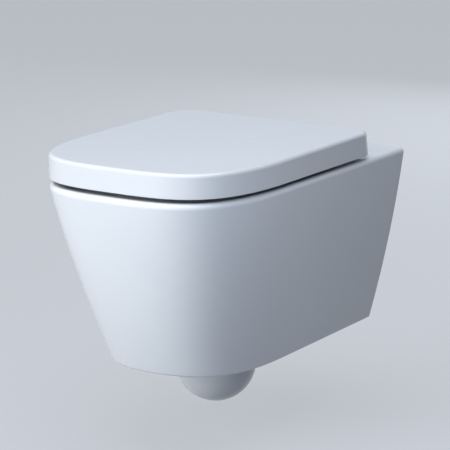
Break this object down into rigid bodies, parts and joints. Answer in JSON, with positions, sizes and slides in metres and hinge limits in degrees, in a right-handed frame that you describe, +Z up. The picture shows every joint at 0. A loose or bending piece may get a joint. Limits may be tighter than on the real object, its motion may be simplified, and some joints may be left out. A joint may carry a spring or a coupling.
{
  "type": "wall hung toilet",
  "caption": "Wall hung pan with a tapered skirt, a trap below it, concealed wall fixings, a seat ring and a wrap-over lid on soft-closing hinges.",
  "frame": {"origin": "on the finished wall's surface, midway between the two wall fixing studs", "axes": "+Y into the wall, front of the pan at -Y, +X right as seen from the front, +Z up"},
  "size_m": [0.362, 0.567, 0.4247],
  "materials": {
    "glazed_ceramic": "white gloss glaze on vitreous china",
    "lid_plastic": "white gloss duroplast",
    "seat_plastic": "white gloss duroplast",
    "white_plastic": "white moulded plastic",
    "hinge_metal": "bright chrome plate",
    "pin_steel": "turned stainless steel",
    "zinc_steel": "bright zinc plated steel",
    "brass": "plain turned brass",
    "nylon": "natural nylon",
    "damper_plastic": "black moulded plastic",
    "rubber": "black rubber",
    "buffer_rubber": "pale grey soft elastomer"
  },
  "bodies": {
    "pan": {"pan_shell": "glazed_ceramic", "pan_bowl": "glazed_ceramic", "pan_sump": "glazed_ceramic", "pan_trap": "glazed_ceramic", "outlet_spigot": "glazed_ceramic", "pan_back": "glazed_ceramic", "inlet_horn": "glazed_ceramic", "flush_distributor": "white_plastic", "wall_anchor_left": "zinc_steel", "wall_anchor_right": "zinc_steel", "anchor_washers": "zinc_steel", "anchor_nuts": "zinc_steel", "anchor_sleeve_left": "nylon", "anchor_sleeve_right": "nylon", "clamp_bushes": "nylon", "clamp_screws": "zinc_steel", "hinge_gaskets": "rubber", "hinge_rosette_left": "hinge_metal", "hinge_rosette_right": "hinge_metal", "hinge_post_left": "hinge_metal", "hinge_post_right": "hinge_metal", "hinge_pin_left": "pin_steel", "hinge_pin_right": "pin_steel", "hinge_bolts": "pin_steel", "hinge_plug_left": "rubber", "hinge_plug_right": "rubber", "plug_nuts": "brass"},
    "seat": {"seat_ring": "seat_plastic", "seat_buffers": "buffer_rubber", "seat_damper": "damper_plastic", "seat_bush": "nylon"},
    "lid": {"lid_shell": "lid_plastic", "lid_buffers": "buffer_rubber", "lid_damper": "damper_plastic", "lid_bush": "nylon"}
  },
  "joints": [
    {"name": "seat_hinge", "type": "hinge", "parent": "pan", "child": "seat", "pos_m": [0, -0.103, 0.129], "axis": [-1, 0, 0], "range_deg": [0, 93]},
    {"name": "lid_hinge", "type": "hinge", "parent": "seat", "child": "lid", "pos_m": [0, -0.103, 0.129], "axis": [-1, 0, 0], "range_deg": [0, 92]}
  ]
}
